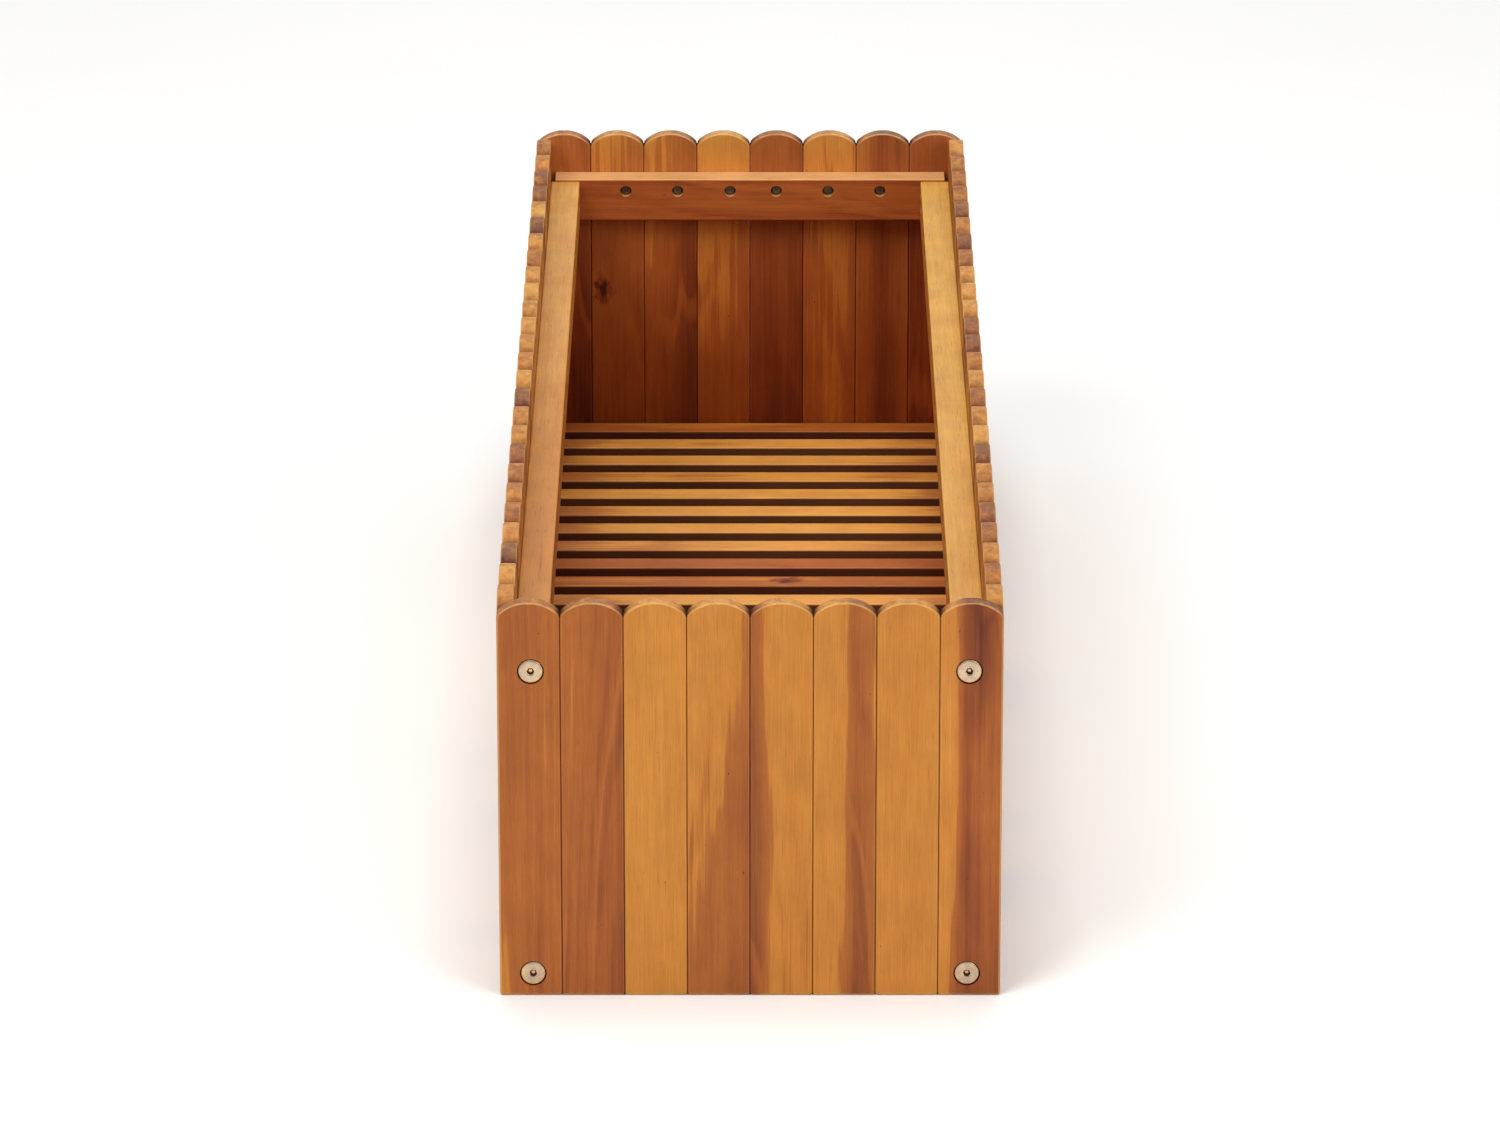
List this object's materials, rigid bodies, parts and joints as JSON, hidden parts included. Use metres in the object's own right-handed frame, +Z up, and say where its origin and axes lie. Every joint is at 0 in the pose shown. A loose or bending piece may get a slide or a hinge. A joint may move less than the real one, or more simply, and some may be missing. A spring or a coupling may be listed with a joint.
{
  "type": "open feed trough",
  "caption": "Long open-topped wooden feed trough with round-topped upright boards, inner rails, a slatted floor and bolted corners.",
  "frame": {"origin": "on the ground, under the middle of the trough", "axes": "+X across the trough to the right, +Y along its length from the near end to the far end, +Z up"},
  "size_m": [0.3, 1, 0.25],
  "materials": {
    "end_boards": "oiled, satin",
    "side_boards": "oiled, satin",
    "rails": "oiled, satin",
    "slats": "oiled, satin",
    "bolts": "yellow-passivated, satin",
    "barrel_nuts": "zinc plated",
    "screws": "zinc plated"
  },
  "bodies": {
    "root": {"barrel_nuts": "barrel_nuts", "end_panel_screws": "screws", "far_end_board_1": "end_boards", "far_end_board_2": "end_boards", "far_end_board_3": "end_boards", "far_end_board_4": "end_boards", "far_end_board_5": "end_boards", "far_end_board_6": "end_boards", "far_end_board_7": "end_boards", "far_end_board_8": "end_boards", "far_end_bottom_rail": "rails", "far_end_top_rail": "rails", "floor_screws": "screws", "floor_slat_01": "slats", "floor_slat_02": "slats", "floor_slat_03": "slats", "floor_slat_04": "slats", "floor_slat_05": "slats", "floor_slat_06": "slats", "floor_slat_07": "slats", "floor_slat_08": "slats", "floor_slat_09": "slats", "floor_slat_10": "slats", "floor_slat_11": "slats", "floor_slat_12": "slats", "floor_slat_13": "slats", "floor_slat_14": "slats", "floor_slat_15": "slats", "floor_slat_16": "slats", "floor_slat_17": "slats", "floor_slat_18": "slats", "floor_slat_19": "slats", "floor_slat_20": "slats", "floor_slat_21": "slats", "floor_slat_22": "slats", "floor_slat_23": "slats", "floor_slat_24": "slats", "floor_slat_25": "slats", "floor_slat_26": "slats", "floor_slat_27": "slats", "frame_bolts": "bolts", "left_side_boards": "side_boards", "left_side_bottom_rail": "rails", "left_side_screws": "screws", "left_side_top_rail": "rails", "near_end_board_1": "end_boards", "near_end_board_2": "end_boards", "near_end_board_3": "end_boards", "near_end_board_4": "end_boards", "near_end_board_5": "end_boards", "near_end_board_6": "end_boards", "near_end_board_7": "end_boards", "near_end_board_8": "end_boards", "near_end_bottom_rail": "rails", "near_end_top_rail": "rails", "right_side_boards": "side_boards", "right_side_bottom_rail": "rails", "right_side_screws": "screws", "right_side_top_rail": "rails"}
  },
  "joints": []
}
